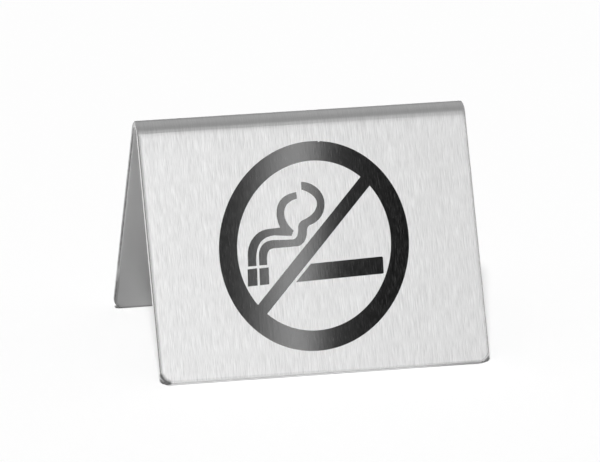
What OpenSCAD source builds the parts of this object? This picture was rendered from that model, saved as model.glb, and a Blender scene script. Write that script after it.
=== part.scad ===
// No-smoking table sign, folded from one strip of brushed stainless steel.
// X runs along the fold, the front panel faces -Y, Z is up, and the origin is on the table,
// under the middle of the sign. Lengths are in millimetres and angles in degrees.

/* [Sheet] */
// Width of the sheet, along the fold
sheet_w = 52; // [46:0.5:80]
// Thickness of the sheet
sheet_t = 1; // [0.8:0.1:1.5]
// Flat length of each panel, from the bend down to its bottom edge
panel_l = 39.05; // [38:0.05:60]
// Angle between the two panels
opening_angle = 53.5; // [45:0.5:70]
// Inside radius of the bend
bend_r = 1.5; // [1:0.1:3]
// Radius of the four corners, seen square on to a panel
corner_r = 1.9; // [0.8:0.1:5]
// Radius of the deburred edges
edge_r = 0.25; // [0.1:0.05:0.35]

/* [Printed symbol] */
// Outside width of the ring
ring_w = 30; // [26:0.5:36]
// Outside height of the ring, measured up the slope
ring_h = 32.7; // [28:0.1:34]
// Width of the ring's line
ring_line = 2.85; // [1.5:0.05:3.5]
// Distance from the bend down to the top of the ring
ring_drop = 2.8; // [1:0.05:4]
// Sideways lean of the symbol, for each millimetre up the slope
lean = 0.06; // [-0.1:0.01:0.1]
// Width of the slanting bar
bar_w = 1.94; // [1.2:0.02:3]
// Angle of the bar above the horizontal
bar_angle = 45.7; // [40:0.1:50]
// Distance from the hole's middle to the middle of the bar, up and to the left
bar_shift = 0.05; // [-0.5:0.01:0.5]
// Height of the hole's middle above the ring's: the ring's line is thinner at its top
hole_rise = 0.06; // [-0.2:0.01:0.2]
// Bare gap beside the bar, where it cuts the cigarette short
bar_gap = 0.42; // [0.2:0.02:0.6]
// Least bare gap between the ring and what it holds
ring_gap = 0.3; // [0.2:0.05:0.6]
// Radius of the small nick in the ring's outer edge
nick_r = 0.15; // [0.05:0.01:0.4]
// Place of the nick, as an angle round the ring
nick_angle = 85; // [0:1:360]
// Thickness of the ink
ink_t = 0.05; // [0.03:0.01:0.1]

/* [Hidden] */
$fn = 48;

STEEL = "#d8d8d6";
INK = "#2b2b2c";

// The bend: its outer radius, and how far each panel leans from upright
outer_r = bend_r + sheet_t;
panel_lean = opening_angle / 2;
// How far each half of the bend runs on into the other, in degrees, so that they are one solid
BEND_OVERLAP = 1;
// Height of the bend's axis, with the rounded bottom edges standing on z = 0
axis_z = edge_r + (panel_l - edge_r) * cos(panel_lean) - (bend_r + edge_r) * sin(panel_lean);

// The symbol is drawn on a grid whose middle is the ring's centre and whose
// unit is a thirtieth of the ring, so the ring's outer edge is 15 units out.
GRID = 30;
GRID_R = GRID / 2;
// Straight pieces in each curve of a drawn outline, and in each oval
CURVE_STEPS = 10;
OVAL_STEPS = 144;
unit = ring_w / GRID;

// Each outline is a list of steps. A step of one point is a straight line to it,
// and a step of three is a curve with two handles that ends at the third.
OUTER_SMOKE = [
    [[-10.52, -2.39]],
    [[-10.5, -0.7]],
    [[-10.5, 1], [-9.1, 2.78], [-7, 2.78]],
    [[-5.26, 2.85]],
    [[-5.57, 3.6], [-5.77, 4.2], [-5.74, 4.9]],
    [[-5.74, 6.6], [-4.55, 7.65], [-2.52, 7.78]],
    [[-2.45, 6.85]],
    [[-3.65, 6.57], [-4.53, 6.1], [-4.55, 4.76]],
    [[-4.52, 3.7], [-3.72, 2.76], [-3.13, 2.3]],
    [[-3.54, 1.56]],
    [[-6.2, 1.81]],
    [[-8.5, 1.75], [-9.12, 0.25], [-9.2, -1.33]],
    [[-9.22, -2.39]],
];
INNER_SMOKE = [
    [[-8.76, -2.34]],
    [[-8.76, -1]],
    [[-8.74, 0.3], [-7.9, 1.12], [-6.6, 1.13]],
    [[-3.3, 1.05]],
    [[-2.75, 1.12], [-2.45, 1.6], [-2.42, 2.55]],
    [[-2.42, 3.25], [-2.1, 3.53], [-1.5, 3.77]],
    [[-0.3, 4.18], [0.66, 4.95], [0.68, 6]],
    [[0.7, 7.05], [-0.9, 7.88], [-1.67, 8.1]],
    [[-1.68, 9.19]],
    [[0.3, 9.12], [1.88, 7.5], [1.88, 5.95]],
    [[1.88, 4.13], [0.55, 3.22], [-0.5, 2.96]],
    [[-0.9, 2.86], [-1.07, 2.42], [-1.08, 1.95]],
    [[-1.15, 0.85], [-1.85, 0.05], [-2.65, 0.04]],
    [[-6.2, -0.03]],
    [[-7.15, -0.02], [-7.45, -0.4], [-7.52, -1.5]],
    [[-7.53, -2.34]],
];
LEFT_EMBER = [[-10.62, -2.81], [-9.13, -2.71], [-9.13, -5.18], [-10.65, -5.23]];
RIGHT_EMBER = [[-8.77, -2.77], [-7.3, -2.7], [-7.3, -5.12], [-8.77, -5.17]];
// The cigarette starts behind the bar, which cuts its left end, and its right corners are round
CIGARETTE = [
    [[-5.24, -5.14]],
    [[-3, -2.66]],
    [[10.48, -2.24]],
    [[10.64, -2.24], [10.76, -2.32], [10.77, -2.5]],
    [[10.8, -4.48]],
    [[10.8, -4.62], [10.74, -4.69], [10.58, -4.7]],
];

// From the grid to the panel's face, in millimetres: x across, y up the slope
function on_face(p) = let (y = p[1] * ring_h / GRID) [p[0] * unit + lean * y, y];

// A point of the curve that starts at a, ends at d and has handles b and c
function curve_point(a, b, c, d, t) =
    pow(1 - t, 3) * a + 3 * t * pow(1 - t, 2) * b + 3 * t * t * (1 - t) * c + pow(t, 3) * d;

// The points of one step, which follows the point before it
function step_points(before, step) = len(step) == 1
    ? step
    : [for (k = [1:CURVE_STEPS]) curve_point(before, step[0], step[1], step[2], k / CURVE_STEPS)];

// All points of an outline
function trace(steps) = [
    for (i = [0:len(steps) - 1])
        let (last = steps[max(i - 1, 0)])
        each step_points(last[len(last) - 1], steps[i])
];

// A closed outline of grid points, drawn on the face
module field(points) {
    polygon([for (p = points) on_face(p)]);
}

// The oval whose edge is r units from the centre
module oval(r) {
    field([for (i = [0:OVAL_STEPS - 1]) let (a = i * 360 / OVAL_STEPS) r * [cos(a), sin(a)]]);
}

// The slanting bar, w units wide, long enough to reach past the middle of the ring's line
module bar(w) {
    reach = GRID_R - ring_line / unit / 2;
    along = reach * [cos(bar_angle), sin(bar_angle)];
    aside = [-sin(bar_angle), cos(bar_angle)];
    low = bar_shift / unit - w / 2;
    high = bar_shift / unit + w / 2;
    field([
        -along + low * aside,
        along + low * aside,
        along + high * aside,
        -along + high * aside
    ]);
}

// The ring, with its hole a little high and a nick in its edge, and the bar across it
module ring_and_bar() {
    difference() {
        oval(GRID_R);
        translate([0, hole_rise]) oval(GRID_R - ring_line / unit);
        translate(on_face(GRID_R * [cos(nick_angle), sin(nick_angle)])) circle(nick_r);
    }
    translate([0, hole_rise]) bar(bar_w / unit);
}

// What the ring holds: the two smoke lines, the glowing end in two blocks, and the cigarette
module cigarette_and_smoke() {
    translate([0, hole_rise]) difference() {
        intersection() {
            union() {
                field(trace(OUTER_SMOKE));
                field(trace(INNER_SMOKE));
                field(LEFT_EMBER);
                field(RIGHT_EMBER);
                field(trace(CIGARETTE));
            }
            oval(GRID_R - (ring_line + ring_gap) / unit);
        }
        bar((bar_w + 2 * bar_gap) / unit);
    }
}

// Cross-section of the sheet with its edges deburred: w wide, from y = 0 up to the thickness
module sheet_section(w) {
    translate([-w / 2, edge_r]) square([w, sheet_t - 2 * edge_r]);
    translate([edge_r - w / 2, 0]) square([w - 2 * edge_r, sheet_t]);
    for (x = [edge_r - w / 2, w / 2 - edge_r])
        for (y = [edge_r, sheet_t - edge_r])
            translate([x, y]) circle(edge_r);
}

// The outer half of a section that is two corner radii wide: the border of a panel
module border_section() {
    intersection() {
        sheet_section(2 * corner_r);
        square([corner_r, sheet_t]);
    }
}

// One panel, hanging straight down from the bend's axis, with its outer face to -Y
module panel() {
    inset_x = sheet_w / 2 - corner_r;
    inset_z = panel_l - corner_r;
    translate([0, -outer_r, -inset_z])
        linear_extrude(inset_z) sheet_section(sheet_w);
    translate([-inset_x, -outer_r, -inset_z])
        rotate([0, 90, 0]) linear_extrude(2 * inset_x) border_section();
    for (side = [0, 1])
        translate([(1 - 2 * side) * inset_x, -outer_r, -inset_z])
            rotate([-90, 0, 0]) rotate(side * 90) rotate_extrude(angle = 90) border_section();
}

// Half of the bend, from the top of a hanging panel round to just past the top of the sign
module half_bend() {
    rotate([0, -90, 0]) rotate(-90) rotate_extrude(angle = 90 - panel_lean + BEND_OVERLAP)
        translate([outer_r, 0]) rotate(90) sheet_section(sheet_w);
}

// Both panels, each with its half of the bend, as one solid
module folded_sheet() {
    color(STEEL) translate([0, 0, axis_z])
        for (side = [0, 1])
            mirror([0, side, 0]) rotate([-panel_lean, 0, 0]) {
                panel();
                half_bend();
            }
}

// The ink, lying on the outer face of the front panel
module printed_symbol() {
    color(INK) translate([0, 0, axis_z]) rotate([-panel_lean, 0, 0])
        translate([0, -outer_r, -ring_drop - ring_h / 2])
            rotate([90, 0, 0]) linear_extrude(ink_t) {
                ring_and_bar();
                cigarette_and_smoke();
            }
}

folded_sheet();
printed_symbol();
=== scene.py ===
"""Looks of the no-smoking table sign: camera, soft studio light, brushed steel and gloss ink."""
import math
from types import SimpleNamespace

import bmesh
import bpy
from mathutils import Matrix, Vector


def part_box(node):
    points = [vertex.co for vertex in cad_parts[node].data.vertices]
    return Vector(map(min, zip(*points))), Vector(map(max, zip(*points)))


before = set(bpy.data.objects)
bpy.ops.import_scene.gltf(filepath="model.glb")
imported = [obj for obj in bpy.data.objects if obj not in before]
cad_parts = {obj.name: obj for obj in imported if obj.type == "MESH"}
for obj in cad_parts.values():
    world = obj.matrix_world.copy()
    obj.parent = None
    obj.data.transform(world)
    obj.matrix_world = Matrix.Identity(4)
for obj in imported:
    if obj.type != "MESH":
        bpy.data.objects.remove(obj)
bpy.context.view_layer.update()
MM = 0.001
WHITE = (1.0, 1.0, 1.0, 1.0)

# Camera, as fitted to the sign's straight edges in the photo
CAMERA_TURN = -12.316  # degrees round the sign, where 0 looks straight at the front
CAMERA_RISE = 17.75  # degrees above the table
CAMERA_REACH = 1.0349  # metres from the point that it aims at
AIM = Vector((0.0, 0.0, 18.2 * MM))
AIM_PIXEL = (299.24, 224.39)  # where that point falls in the image
IMAGE_SIZE = (600, 462)  # pixels
FOCAL_PIXELS = 6641.3
SENSOR_WIDTH = 36.0  # millimetres
NEAREST_SEEN = 0.05  # metres
FARTHEST_SEEN = 20.0

# The folded sheet: half of its width, its lean from upright, its bend, its panels and its corners
HALF_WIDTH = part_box("folded_sheet")[1].x
LEAN = math.radians(26.75)
OUTER_R = 2.5 * MM
BEND_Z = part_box("folded_sheet")[1].z - OUTER_R
PANEL_LENGTH = 39.05 * MM
CORNER_R = 1.9 * MM
DOWN_SLOPE = Vector((0.0, -math.sin(LEAN), -math.cos(LEAN)))
FACE_NORMAL = Vector((0.0, -math.cos(LEAN), math.sin(LEAN)))
SYMBOL_DROP = 19.15 * MM  # from the bend's end to the middle of the ring
SYMBOL_CENTRE = Vector((0.0, 0.0, BEND_Z)) + FACE_NORMAL * OUTER_R + DOWN_SLOPE * SYMBOL_DROP


def toward(turn, rise):
    """The unit vector from the sign to a place at this turn and rise, in degrees."""
    turn = math.radians(turn)
    rise = math.radians(rise)
    return Vector((math.sin(turn) * math.cos(rise), -math.cos(turn) * math.cos(rise), math.sin(rise)))


def mirrored(normal):
    """Where the camera's line of sight goes after a mirror with this normal."""
    sight = toward(CAMERA_TURN, CAMERA_RISE)
    return 2 * sight.dot(normal) * normal - sight


class Number:
    """A number that a shader works out at each point, with the usual signs for arithmetic."""

    def __init__(self, nodes, socket):
        self.nodes = nodes
        self.socket = socket

    def __add__(self, other):
        return self.nodes.math("ADD", self, other)

    def __radd__(self, other):
        return self.nodes.math("ADD", other, self)

    def __sub__(self, other):
        return self.nodes.math("SUBTRACT", self, other)

    def __rsub__(self, other):
        return self.nodes.math("SUBTRACT", other, self)

    def __mul__(self, other):
        return self.nodes.math("MULTIPLY", self, other)

    def __truediv__(self, other):
        return self.nodes.math("DIVIDE", self, other)

    def __pow__(self, exponent):
        return self.nodes.math("POWER", self, exponent)

    def __neg__(self):
        return self * -1.0

    def __abs__(self):
        return self.nodes.math("ABSOLUTE", self)

    def __gt__(self, other):
        """1 where this is the greater, and 0 elsewhere."""
        return self.nodes.math("GREATER_THAN", self, other)

    def __lt__(self, other):
        """1 where this is the less, and 0 elsewhere."""
        return self.nodes.math("LESS_THAN", self, other)

    def at_least(self, limit):
        return self.nodes.math("MAXIMUM", self, limit)

    def at_most(self, limit):
        return self.nodes.math("MINIMUM", self, limit)

    def root(self):
        return self.nodes.math("SQRT", self)

    def exponential(self):
        return self.nodes.math("EXPONENT", self)

    def ramp(self, band, start=0.0, end=1.0):
        """Goes smoothly from start to end while this passes through a band, (from, to)."""
        inputs = {"Value": self, "From Min": band[0], "From Max": band[1], "To Min": start, "To Max": end}
        return self.nodes.number("MapRange", inputs, interpolation_type="SMOOTHSTEP")

    def blend(self, start, end):
        """Goes from start to end while this goes from 0 to 1."""
        return self.nodes.number("Mix", {0: self, 2: start, 3: end}, data_type="FLOAT")


class Nodes:
    """Short calls that build one node tree."""

    def __init__(self, tree):
        self.tree = tree
        tree.nodes.clear()

    def add(self, kind, inputs=None, **settings):
        """Adds a node. Its inputs are {name or number: a value, a Number or an output socket}."""
        node = self.tree.nodes.new("ShaderNode" + kind)
        for name, value in settings.items():
            setattr(node, name, value)
        for key, value in (inputs or {}).items():
            if isinstance(value, Number):
                value = value.socket
            if isinstance(value, bpy.types.NodeSocket):
                self.tree.links.new(value, node.inputs[key])
            else:
                node.inputs[key].default_value = value
        return node

    def number(self, kind, inputs, **settings):
        """Adds a node and gives its first output."""
        return Number(self, self.add(kind, inputs, **settings).outputs[0])

    def math(self, operation, *values):
        return self.number("Math", dict(enumerate(values)), operation=operation)

    def place(self):
        """The x, y and z of the object's own frame, in metres."""
        parts = self.add("SeparateXYZ", {0: self.add("TexCoord").outputs["Object"]})
        return [Number(self, part) for part in parts.outputs]

    def noise(self, place, cell, detail=2.0, roughness=0.5):
        """Noise from 0 to 1, with a cell of this size along x, y and z, in metres."""
        scaled = [part / length for part, length in zip(place, cell)]
        vector = self.number("CombineXYZ", dict(enumerate(scaled)))
        inputs = {"Vector": vector, "Scale": 1.0, "Detail": detail, "Roughness": roughness}
        return self.number("TexNoise", inputs)

    def grey(self, tone):
        return self.add("CombineColor", {0: tone, 1: tone, 2: tone}).outputs[0]

    def bump(self, height):
        """The normal of a surface raised by this height, in metres."""
        return self.add("Bump", {"Strength": 1.0, "Distance": 1.0, "Height": height}).outputs[0]

    def principled(self, inputs):
        """Ends the material with a principled shader."""
        self.surface(self.add("BsdfPrincipled", inputs))

    def surface(self, shader, output="OutputMaterial"):
        self.add(output, {"Surface": shader.outputs[0]})


def new_material(name):
    """A material and the short calls that fill it."""
    material = bpy.data.materials.new(name)
    material.use_nodes = True
    return material, Nodes(material.node_tree)


def new_object(name, bm):
    """A mesh object from a bmesh, in the scene."""
    mesh = bpy.data.meshes.new(name)
    bm.to_mesh(mesh)
    bm.free()
    obj = bpy.data.objects.new(name, mesh)
    bpy.context.scene.collection.objects.link(obj)
    return obj


def make_camera():
    width, height = IMAGE_SIZE
    data = bpy.data.cameras.new("camera")
    data.sensor_fit = "HORIZONTAL"
    data.sensor_width = SENSOR_WIDTH
    data.lens = FOCAL_PIXELS / width * SENSOR_WIDTH
    data.shift_x = (width / 2 - AIM_PIXEL[0]) / width
    data.shift_y = (AIM_PIXEL[1] - height / 2) / width
    data.clip_start = NEAREST_SEEN
    data.clip_end = FARTHEST_SEEN
    camera = bpy.data.objects.new("camera", data)
    bpy.context.scene.collection.objects.link(camera)
    back = toward(CAMERA_TURN, CAMERA_RISE)
    camera.rotation_mode = "QUATERNION"
    camera.location = AIM + back * CAMERA_REACH
    camera.rotation_quaternion = (-back).to_track_quat("-Z", "Y")
    bpy.context.scene.camera = camera


# Light on the table: one soft, even lamp from the camera's side, and a white sky that fills the rest.
# The shares are of the light on the table, where 1 shows white as white.
SKY_FILL = 0.19
LAMP_SHARE = 0.825
LAMP_TURN = -17.5
LAMP_RISE = 52.0
LAMP_ANGLE = 7.0  # degrees across, as seen from the table


def make_world():
    """White to the camera and in reflections, and a weaker fill for everything else."""
    world = bpy.data.worlds.new("studio")
    world.use_nodes = True
    bpy.context.scene.world = world
    nodes = Nodes(world.node_tree)
    path = nodes.add("LightPath").outputs
    seen = nodes.math("MAXIMUM", path["Is Camera Ray"], path["Is Glossy Ray"])
    seen = seen.at_least(path["Is Transmission Ray"])
    sky = nodes.add("Background", {"Color": WHITE, "Strength": seen.blend(SKY_FILL, 1.0)})
    nodes.surface(sky, output="OutputWorld")


def make_lamp():
    data = bpy.data.lights.new("soft_lamp", "SUN")
    data.angle = math.radians(LAMP_ANGLE)
    data.energy = LAMP_SHARE * math.pi / math.sin(math.radians(LAMP_RISE))
    lamp = bpy.data.objects.new("soft_lamp", data)
    lamp.visible_glossy = False
    bpy.context.scene.collection.objects.link(lamp)
    out = toward(LAMP_TURN, LAMP_RISE)
    lamp.location = out
    lamp.rotation_mode = "QUATERNION"
    lamp.rotation_quaternion = (-out).to_track_quat("-Z", "Y")


# White floor
FLOOR_HALF = 3.0  # metres from its middle to its edges
FLOOR_TONE = 0.97
FLOOR_ROUGHNESS = 0.9


def make_floor():
    bm = bmesh.new()
    bmesh.ops.create_grid(bm, x_segments=1, y_segments=1, size=FLOOR_HALF)
    floor = new_object("floor", bm)
    material, nodes = new_material("white_table")
    colour = (FLOOR_TONE, FLOOR_TONE, FLOOR_TONE, 1.0)
    nodes.principled({"Base Color": colour, "Roughness": FLOOR_ROUGHNESS, "Specular IOR Level": 0.0})
    floor.data.materials.append(material)


def make_glow(card, level_of):
    """Makes a card shine, for reflections only, at the level that level_of(nodes) gives."""
    material, nodes = new_material(card.name)
    nodes.surface(nodes.add("Emission", {"Color": WHITE, "Strength": level_of(nodes)}))
    card.data.materials.append(material)
    card.visible_camera = False
    card.visible_diffuse = False
    card.visible_shadow = False
    card.visible_transmission = False


# What the steel mirrors from the front over the top to the back. It is on cards that are bent round the
# bend's own axis, and angles round that axis go from the front horizon (0) over the top to the back (180).
# The level is white at the front, falls to grey overhead, and is a little lighter and then darker behind
WHITE_END = 39.5
WHITE_FALL = 8.5  # degrees in which the white falls to about a third
OVERHEAD_GREY = 0.345
LIGHTER_BAND = (75.0, 120.0)
LIGHTER = 0.1
DARKER_BAND = (138.0, 176.0)
DARKER = -0.19

# A near card lights the front panel, from bright at its left to grey at its right. Lengths are in metres
FRONT_R = 0.35
FRONT_LOW = -3.0
FRONT_HIGH = 58.0
FRONT_LEFT = -0.2
FRONT_RIGHT = 0.45
FRONT_MIDDLE = 0.09  # where the panel's middle mirrors the card
FRONT_LEVEL = 1.094
FRONT_SLOPE = -3.0  # change of the level for each metre to the right
FRONT_DARKEST = 0.45
FRONT_BRIGHTEST = 2.1

# A ceiling and a narrower card behind it show in the bend
CEILING_R = 1.5
CEILING_HALF = 2.0
BACK_START = 140.0
BACK_END = 179.5
BACK_HALF = 0.7
CARD_STEPS = 40


def bent_card(name, radius, start, end, left, right):
    """A card bent round the bend's own axis, from one angle to another and from left to right."""
    bm = bmesh.new()
    rows = []
    for step in range(CARD_STEPS + 1):
        angle = math.radians(start + (end - start) * step / CARD_STEPS)
        y = -radius * math.cos(angle)
        z = BEND_Z + radius * math.sin(angle)
        rows.append([bm.verts.new((x, y, z)) for x in (left, right)])
    for low, high in zip(rows, rows[1:]):
        bm.faces.new((low[0], low[1], high[1], high[0]))
    return new_object(name, bm)


def overhead_level(nodes):
    """The level at a point's angle over the bend's axis."""
    y, z = nodes.place()[1:]
    angle = nodes.math("DEGREES", nodes.math("ARCTAN2", z - BEND_Z, -y))
    white = ((angle - WHITE_END).at_least(0.0) / -WHITE_FALL).exponential()
    lighter = angle.ramp(LIGHTER_BAND, 0.0, LIGHTER)
    darker = angle.ramp(DARKER_BAND, 0.0, DARKER)
    return white.blend(OVERHEAD_GREY + lighter + darker, 1.0)


def front_level(nodes):
    """The overhead level, brighter at the left than at the right."""
    x = nodes.place()[0]
    level = (x - FRONT_MIDDLE) * FRONT_SLOPE + FRONT_LEVEL
    return level.at_most(FRONT_BRIGHTEST).at_least(FRONT_DARKEST) * overhead_level(nodes)


def make_bent_cards():
    card = bent_card("front_card", FRONT_R, FRONT_LOW, FRONT_HIGH, FRONT_LEFT, FRONT_RIGHT)
    make_glow(card, front_level)
    card = bent_card("ceiling_card", CEILING_R, FRONT_HIGH, BACK_START, -CEILING_HALF, CEILING_HALF)
    make_glow(card, overhead_level)
    middle = CEILING_R * math.tan(math.radians(-CAMERA_TURN))
    card = bent_card("back_card", CEILING_R, BACK_START, BACK_END, middle - BACK_HALF, middle + BACK_HALF)
    make_glow(card, overhead_level)


# Upright side cards that the rounded edges mirror: level, x, the two ends in y, and height
LEFT_LEVEL = 0.45
LEFT_X = -0.21
LEFT_ENDS = (-0.36, 0.6)
LEFT_HEIGHT = 0.34
RIGHT_LEVEL = 0.42
RIGHT_X = 0.35
RIGHT_ENDS = (-0.25, 0.5)
RIGHT_HEIGHT = 0.5


def flat_card(name, corners):
    bm = bmesh.new()
    bm.faces.new([bm.verts.new(corner) for corner in corners])
    return new_object(name, bm)


def make_side_card(name, level, x, ends, height):
    near, far = ends
    card = flat_card(name, [(x, near, 0.0), (x, far, 0.0), (x, far, height), (x, near, height)])
    make_glow(card, lambda nodes: level)


# Strip of light that the ink mirrors, on a card in front of the symbol. Its sizes are as they show on the
# panel, and its places are measured to the right from the ring's middle
STRIP_REACH = 0.25
STRIP_HALF_WIDTH = 28 * MM
STRIP_HALF_HEIGHT = 48 * MM
STRIP_SPREAD = 1.0 + STRIP_REACH / CAMERA_REACH  # a size on the card for each size on the panel
STRIP_PEAK = 5.5
STRIP_PLACE = -2.33 * MM
STRIP_SHIFT = 0.101  # how far it moves to the right for each mm up the slope
# To the left the light falls off as a bell of this width, and to the right a little more steeply, to a tail
STRIP_LEFT = 3.75 * MM
STRIP_LEFT_LEVEL = 0.385
STRIP_RIGHT = 3.6 * MM
STRIP_RIGHT_POWER = 2.5
STRIP_RIGHT_LEVEL = 0.225
STRIP_TAIL_BAND = (8 * MM, 17 * MM)
STRIP_TAIL_LEVEL = 0.12


def strip_level(nodes):
    """A bright line with a weaker level at each side of it."""
    x, y = nodes.place()[:2]
    up_slope = y / STRIP_SPREAD
    offset = x / STRIP_SPREAD - up_slope * STRIP_SHIFT - STRIP_PLACE
    left = ((offset / STRIP_LEFT) ** 2.0 * -0.5).exponential()
    left = left.blend(STRIP_LEFT_LEVEL, STRIP_PEAK)
    tail = offset.ramp(STRIP_TAIL_BAND, STRIP_RIGHT_LEVEL, STRIP_TAIL_LEVEL)
    right = (-((offset.at_least(0.0) / STRIP_RIGHT) ** STRIP_RIGHT_POWER)).exponential()
    right = right.blend(tail, STRIP_PEAK)
    return (offset > 0.0).blend(left, right)


def make_strip():
    """The strip's card. It leans as the panel does, where the camera sees it mirrored in the symbol."""
    right = STRIP_HALF_WIDTH * STRIP_SPREAD
    top = STRIP_HALF_HEIGHT * STRIP_SPREAD
    corners = [(-right, -top, 0.0), (right, -top, 0.0), (right, top, 0.0), (-right, top, 0.0)]
    card = flat_card("strip_card", corners)
    across = Vector((1.0, 0.0, 0.0))
    up = -DOWN_SLOPE
    axes = Matrix((across, up, across.cross(up))).transposed().to_4x4()
    card.matrix_world = Matrix.Translation(SYMBOL_CENTRE + mirrored(FACE_NORMAL) * STRIP_REACH) @ axes
    make_glow(card, strip_level)


def measure_sheet(nodes):
    """Where a point lies on the sheet, in metres.

    slope runs down the panel from the end of the bend, and depth is measured in from the outer face.
    edge is how far the point is inside the sheet's outline. down starts where the round corners do,
    and corner is how far the point is into the square that holds one.
    """
    x, y, z = nodes.place()
    back = abs(y)
    up = z - BEND_Z
    slope = back * math.sin(LEAN) - up * math.cos(LEAN)
    panel = back * math.cos(LEAN) + up * math.sin(LEAN)
    bend = (back * back + up * up).root()
    out = (slope > 0.0).blend(bend, panel)
    across = abs(x) - (HALF_WIDTH - CORNER_R)
    down = slope - (PANEL_LENGTH - CORNER_R)
    past_x = across.at_least(0.0)
    past_y = down.at_least(0.0)
    past = (past_x * past_x + past_y * past_y).root()
    short = across.at_least(down).at_most(0.0)
    return SimpleNamespace(
        place=(x, y, z),
        x=x,
        y=y,
        slope=slope,
        depth=OUTER_R - out,
        edge=CORNER_R - (past + short),
        corner=past_x.at_most(past_y),
        down=down,
    )


# Bands, in the sheet's own measures, in which one part of the sheet goes over into another
ROUNDED_BAND = (0.1 * MM, 0.35 * MM)
CUT_BAND = (0.02 * MM, 0.1 * MM)
INSIDE_BAND = (0.6 * MM, 0.85 * MM)
FRONT_TO_BACK_BAND = (-3 * MM, 3 * MM)
RIGHT_END_BAND = (12 * MM, 24 * MM)
BEND_END_BAND = (-0.3 * MM, 0.6 * MM)
CORNER_BAND = (0.0, 0.5 * MM)
LOW_BAND = (CORNER_R - 0.6 * MM, CORNER_R - 0.3 * MM)
FOOT_BAND = (CORNER_R - 0.2 * MM, CORNER_R - 0.1 * MM)


def find_zones(sheet):
    """How far a point is in each zone of the sheet, from 0 to 1."""
    cut = sheet.edge.ramp(CUT_BAND, 1.0, 0.0)
    back = sheet.y.ramp(FRONT_TO_BACK_BAND)
    return SimpleNamespace(
        rounded=sheet.edge.ramp(ROUNDED_BAND, 1.0, 0.0),
        cut=cut,
        inside=sheet.depth.ramp(INSIDE_BAND),
        back=back,
        left=sheet.x < 0.0,
        right_end=sheet.x.ramp(RIGHT_END_BAND),
        bend=sheet.slope.ramp(BEND_END_BAND, 1.0, 0.0),
        corner=sheet.corner.ramp(CORNER_BAND),
        low=sheet.down.ramp(LOW_BAND),
        foot=cut * sheet.down.ramp(FOOT_BAND) * (1.0 - back),
    )


# Brushed streaks: fine ones, and a share of broad ones
STREAK_CELL = (0.085 * MM, 2 * MM, 2 * MM)
STREAK_DETAIL = 3.0
STREAK_ROUGHNESS = 0.6
BROAD_CELL = (0.9 * MM, 7 * MM, 7 * MM)
BROAD_DETAIL = 1.0
BROAD_SHARE = 0.1
BEND_BRUSH_BAND = (-1 * MM, -0.3 * MM)
BEND_BRUSH = 0.42  # the streaks' strength on the bend


def brush(nodes, sheet, zones):
    """Streaks down the slope, from about -0.5 to 0.5, with none on the edges and inside."""
    fine = nodes.noise(sheet.place, STREAK_CELL, STREAK_DETAIL, STREAK_ROUGHNESS)
    broad = nodes.noise(sheet.place, BROAD_CELL, BROAD_DETAIL)
    strength = (1.0 - zones.rounded) * (1.0 - zones.inside)
    strength = strength * sheet.slope.ramp(BEND_BRUSH_BAND, BEND_BRUSH, 1.0)
    return (fine + (broad - 0.5) * BROAD_SHARE - 0.5) * strength


# Painted shade on the back panel's cut edges: darker, mottled, and less dark in a stretch above each corner
BACK_EDGE_SHADE_CELL = (1 * MM, 1 * MM, 1 * MM)
BACK_EDGE_SHADE_NOISE_BAND = (0.35, 0.65)
BACK_EDGE_SHADE_DARKEST = 0.16
BACK_EDGE_SHADE_LIGHTEST = 0.29
EDGE_SHADE_BAND = (0.1 * MM, 0.3 * MM)
BACK_EDGE_SHADE_DEPTH_BAND = (0.15 * MM, 0.3 * MM)
PALE_START_BAND = (-9 * MM, -6.5 * MM)
PALE_END_BAND = (-4.6 * MM, -3.6 * MM)
PALE_TONE = 0.42


# Painted shade: darkens the back panel's cut edges in the steel's tone
def paint_back_edge_shade(nodes, sheet, zones):
    mottle = nodes.noise(sheet.place, BACK_EDGE_SHADE_CELL)
    back_edge_shade = mottle.ramp(BACK_EDGE_SHADE_NOISE_BAND, BACK_EDGE_SHADE_DARKEST, BACK_EDGE_SHADE_LIGHTEST)
    pale = sheet.down.ramp(PALE_START_BAND) * sheet.down.ramp(PALE_END_BAND, 1.0, 0.0)
    back_edge_shade = zones.back.blend(1.0, pale.blend(back_edge_shade, PALE_TONE))
    back_edge_shade = sheet.depth.ramp(BACK_EDGE_SHADE_DEPTH_BAND).blend(1.0, back_edge_shade)
    return sheet.edge.ramp(EDGE_SHADE_BAND, 1.0, 0.0).blend(1.0, back_edge_shade)


# The inside is a mill finish, and its tone is painted shade: it gets darker down the slope and toward its
# sides
INSIDE_SHADE_SLOPE_BAND = (8 * MM, 36 * MM)
INSIDE_SHADE_TOP = 0.82
INSIDE_SHADE_BOTTOM = 0.43
INSIDE_SHADE_SIDE_BAND = (17 * MM, 26.5 * MM)
INSIDE_SHADE_MIDDLE_BAND = (28 * MM, 38 * MM)
INSIDE_SHADE_MIDDLE = 1.42
INSIDE_SHADE_LOW_MIDDLE = 1.13
INSIDE_SHADE_SIDE = 0.9


# Painted shade: darkens the inside's tone down the slope and toward its sides
def paint_inside_shade(sheet, zones):
    middle = sheet.slope.ramp(INSIDE_SHADE_MIDDLE_BAND, INSIDE_SHADE_MIDDLE, INSIDE_SHADE_LOW_MIDDLE)
    inside_shade = sheet.slope.ramp(INSIDE_SHADE_SLOPE_BAND, INSIDE_SHADE_TOP, INSIDE_SHADE_BOTTOM)
    inside_shade = inside_shade * abs(sheet.x).ramp(INSIDE_SHADE_SIDE_BAND, middle, INSIDE_SHADE_SIDE)
    inside_shade = sheet.edge.ramp(EDGE_SHADE_BAND).blend(1.0, inside_shade)
    return zones.inside.blend(1.0, inside_shade)


# Painted shade round the back panel's corners: the painted dark of its edges runs on to the inner face
CORNER_SHADE_EDGE_BAND = (0.3 * MM, 0.6 * MM)
CORNER_SHADE_START_BAND = (-7 * MM, -4 * MM)
CORNER_SHADE_TONE = 0.68


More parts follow.
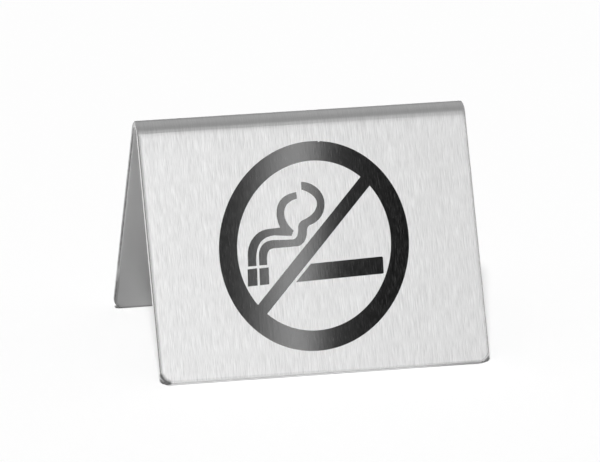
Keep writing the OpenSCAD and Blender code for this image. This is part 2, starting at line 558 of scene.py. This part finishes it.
# Painted shade: darkens the inner face round the back panel's corners
def paint_corner_shade(sheet, zones):
    corner_shade = sheet.edge.ramp(CORNER_SHADE_EDGE_BAND, 1.0, 0.0) * sheet.down.ramp(CORNER_SHADE_START_BAND)
    return (corner_shade * (zones.inside * zones.back)).blend(1.0, CORNER_SHADE_TONE)


# Painted shade on the front face's rim: darker at its left side and its foot, and darkest at its left round
# corner. Bands go in from the outline, and tones are those at the outline. The cut face beside it has its
# own painted shade, darker on the bend and at the left round corner. The back panel's rounded edges are
# painted a little darker
SIDE_RIM_BAND = (0.25 * MM, 0.62 * MM)
SIDE_RIM_LEFT = 0.52
SIDE_RIM_LEFT_BEND = 0.9
SIDE_RIM_RIGHT = 0.97
LOW_RIM_BAND = (0.08 * MM, 0.55 * MM)
LOW_RIM = 0.72
LOW_RIM_RIGHT_END = 0.55
CORNER_RIM_START = 0.08 * MM
CORNER_RIM_END_LEFT = 0.85 * MM
CORNER_RIM_END_RIGHT = 0.45 * MM
CORNER_RIM_LEFT = 0.12
CORNER_RIM_RIGHT = 0.65
CUT_ON_BEND = 0.58
CUT_AT_LEFT_CORNER = 0.2
BACK_RIM = 0.9


# Painted shade: darkens the rims, cut faces and back edges in the steel's tone
def paint_rim_shade(sheet, zones):
    left_rim = zones.bend.blend(SIDE_RIM_LEFT, SIDE_RIM_LEFT_BEND)
    side_rim = sheet.edge.ramp(SIDE_RIM_BAND, zones.left.blend(SIDE_RIM_RIGHT, left_rim), 1.0)
    low_rim = sheet.edge.ramp(LOW_RIM_BAND, zones.right_end.blend(LOW_RIM, LOW_RIM_RIGHT_END), 1.0)
    corner_end = zones.left.blend(CORNER_RIM_END_RIGHT, CORNER_RIM_END_LEFT)
    corner_tone = zones.left.blend(CORNER_RIM_RIGHT, CORNER_RIM_LEFT)
    corner_rim = sheet.edge.ramp((CORNER_RIM_START, corner_end), corner_tone, 1.0)
    rim = zones.corner.blend(zones.low.blend(side_rim, low_rim), corner_rim)
    corner_cut = zones.left.blend(1.0, CUT_AT_LEFT_CORNER)
    cut = zones.corner.blend(zones.bend.blend(1.0, CUT_ON_BEND), corner_cut)
    rim = zones.cut.blend(rim, cut)
    rim = zones.back.blend(rim, zones.rounded.blend(1.0, BACK_RIM))
    return zones.inside.blend(rim, 1.0)


# Painted light and shade on the front panel's cut face at the foot: painted dark next to the outer face,
# painted bright, above the steel's own tone, on its inner half, and darker at its right end
FOOT_DEPTH_BAND = (0.2 * MM, 0.38 * MM)
FOOT_OUTER = 0.65
FOOT_OUTER_RIGHT_END = 0.45
FOOT_INNER = 1.2
FOOT_INNER_RIGHT_END = 0.6


# Painted light and shade: darkens and brightens the cut face at the foot
def paint_foot_light_and_shade(sheet, zones):
    outer = zones.right_end.blend(FOOT_OUTER, FOOT_OUTER_RIGHT_END)
    inner = zones.right_end.blend(FOOT_INNER, FOOT_INNER_RIGHT_END)
    return zones.foot.blend(1.0, sheet.depth.ramp(FOOT_DEPTH_BAND, outer, inner))


# The steel's own tone, and how much the streaks change it
STEEL_TONE = 0.80
STREAK_DEPTH = 0.85


def steel_tone(nodes, sheet, zones, streaks):
    """The steel's reflectance, from its own tone and streaks and the painted light and shade of its zones.
    """
    tone = (streaks * STREAK_DEPTH + 1.0) * STEEL_TONE
    tone = tone * paint_back_edge_shade(nodes, sheet, zones)
    tone = tone * paint_inside_shade(sheet, zones)
    tone = tone * paint_corner_shade(sheet, zones)
    tone = tone * paint_rim_shade(sheet, zones)
    return tone * paint_foot_light_and_shade(sheet, zones)


# Relief of the steel. The bend runs out softly into the panel: the surface tilts by TAIL_TILT at the
# bend's end, and that tilt dies out over TAIL down the panel and over TAIL_UP up the bend
TAIL_TILT = 0.085
TAIL = 0.65 * MM
TAIL_UP = 0.15 * MM
BEND_SKEW = 1.35  # change of the bend's tilt for each metre along x
# The faces roll over toward their rounded edges: the tilt there, how far in it starts to die out, and over
# what distance it does
ROLL_TILT = 0.22
ROLL_START = 0.25 * MM
ROLL = 0.18 * MM
FOOT_TILT = 1.6  # outward tilt of the cut face at the foot
RIDGE_HEIGHT = 0.0006 * MM


def steel_height(sheet, zones, streaks):
    """The steel's relief, in metres."""
    on_panel = sheet.slope.at_least(0.0)
    on_bend = sheet.slope.at_most(0.0)
    height = (1.0 - (on_panel / -TAIL).exponential()) * (TAIL_TILT * TAIL)
    height = height - (1.0 - (on_bend / TAIL_UP).exponential()) * (TAIL_TILT * TAIL_UP)
    height = height - sheet.x * on_bend * BEND_SKEW
    roll = ((ROLL_START - sheet.edge) / ROLL).exponential().at_most(1.0)
    height = height + roll * (-ROLL_TILT * ROLL)
    height = height + sheet.depth * zones.foot * FOOT_TILT
    return height + streaks * RIDGE_HEIGHT


# Roughness of the brushed faces, of the mill finish inside and of the rounded edges
STEEL_ROUGHNESS = 0.31
MILL_ROUGHNESS = 0.35
EDGE_ROUGHNESS = 0.15


def steel():
    """Steel brushed down the slope, so that it spreads what it mirrors along x."""
    material, nodes = new_material("brushed_steel")
    sheet = measure_sheet(nodes)
    zones = find_zones(sheet)
    streaks = brush(nodes, sheet, zones)
    roughness = zones.inside.blend(STEEL_ROUGHNESS, MILL_ROUGHNESS)
    nodes.principled({
        "Base Color": nodes.grey(steel_tone(nodes, sheet, zones, streaks)),
        "Metallic": 1.0,
        "Roughness": zones.rounded.blend(roughness, EDGE_ROUGHNESS),
        "Anisotropic": 1.0,
        "Anisotropic Rotation": 0.25,
        "Tangent": nodes.add("Tangent", direction_type="RADIAL", axis="X").outputs[0],
        "Normal": nodes.bump(steel_height(sheet, zones, streaks)),
    })
    return material


# Gloss black ink, with a faint grain in its surface and faint lines in its tone, from the brushed steel
INK_TONE = 0.006
INK_ROUGHNESS = 0.07
INK_IOR = 1.58
GRAIN_CELL = (0.25 * MM, 2.5 * MM, 2.5 * MM)
GRAIN_HEIGHT = 0.0009 * MM
LINE_CELL = (0.1 * MM, 1.2 * MM, 1.2 * MM)
LINE_DEPTH = 0.08


def ink():
    material, nodes = new_material("gloss_ink")
    place = nodes.place()
    grain = nodes.noise(place, GRAIN_CELL)
    lines = nodes.noise(place, LINE_CELL)
    tone = ((lines - 0.5) * LINE_DEPTH + INK_TONE).at_least(0.0)
    nodes.principled({
        "Base Color": nodes.grey(tone),
        "Roughness": INK_ROUGHNESS,
        "IOR": INK_IOR,
        "Normal": nodes.bump(grain * GRAIN_HEIGHT),
    })
    return material


def dress(node, material):
    """Gives a node of the sign this material."""
    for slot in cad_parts[node].material_slots:
        slot.material = material


make_camera()
make_world()
make_lamp()
make_floor()
make_bent_cards()
make_side_card("left_card", LEFT_LEVEL, LEFT_X, LEFT_ENDS, LEFT_HEIGHT)
make_side_card("right_card", RIGHT_LEVEL, RIGHT_X, RIGHT_ENDS, RIGHT_HEIGHT)
make_strip()
dress("folded_sheet", steel())
dress("printed_symbol", ink())

bpy.context.scene.view_settings.view_transform = "Standard"
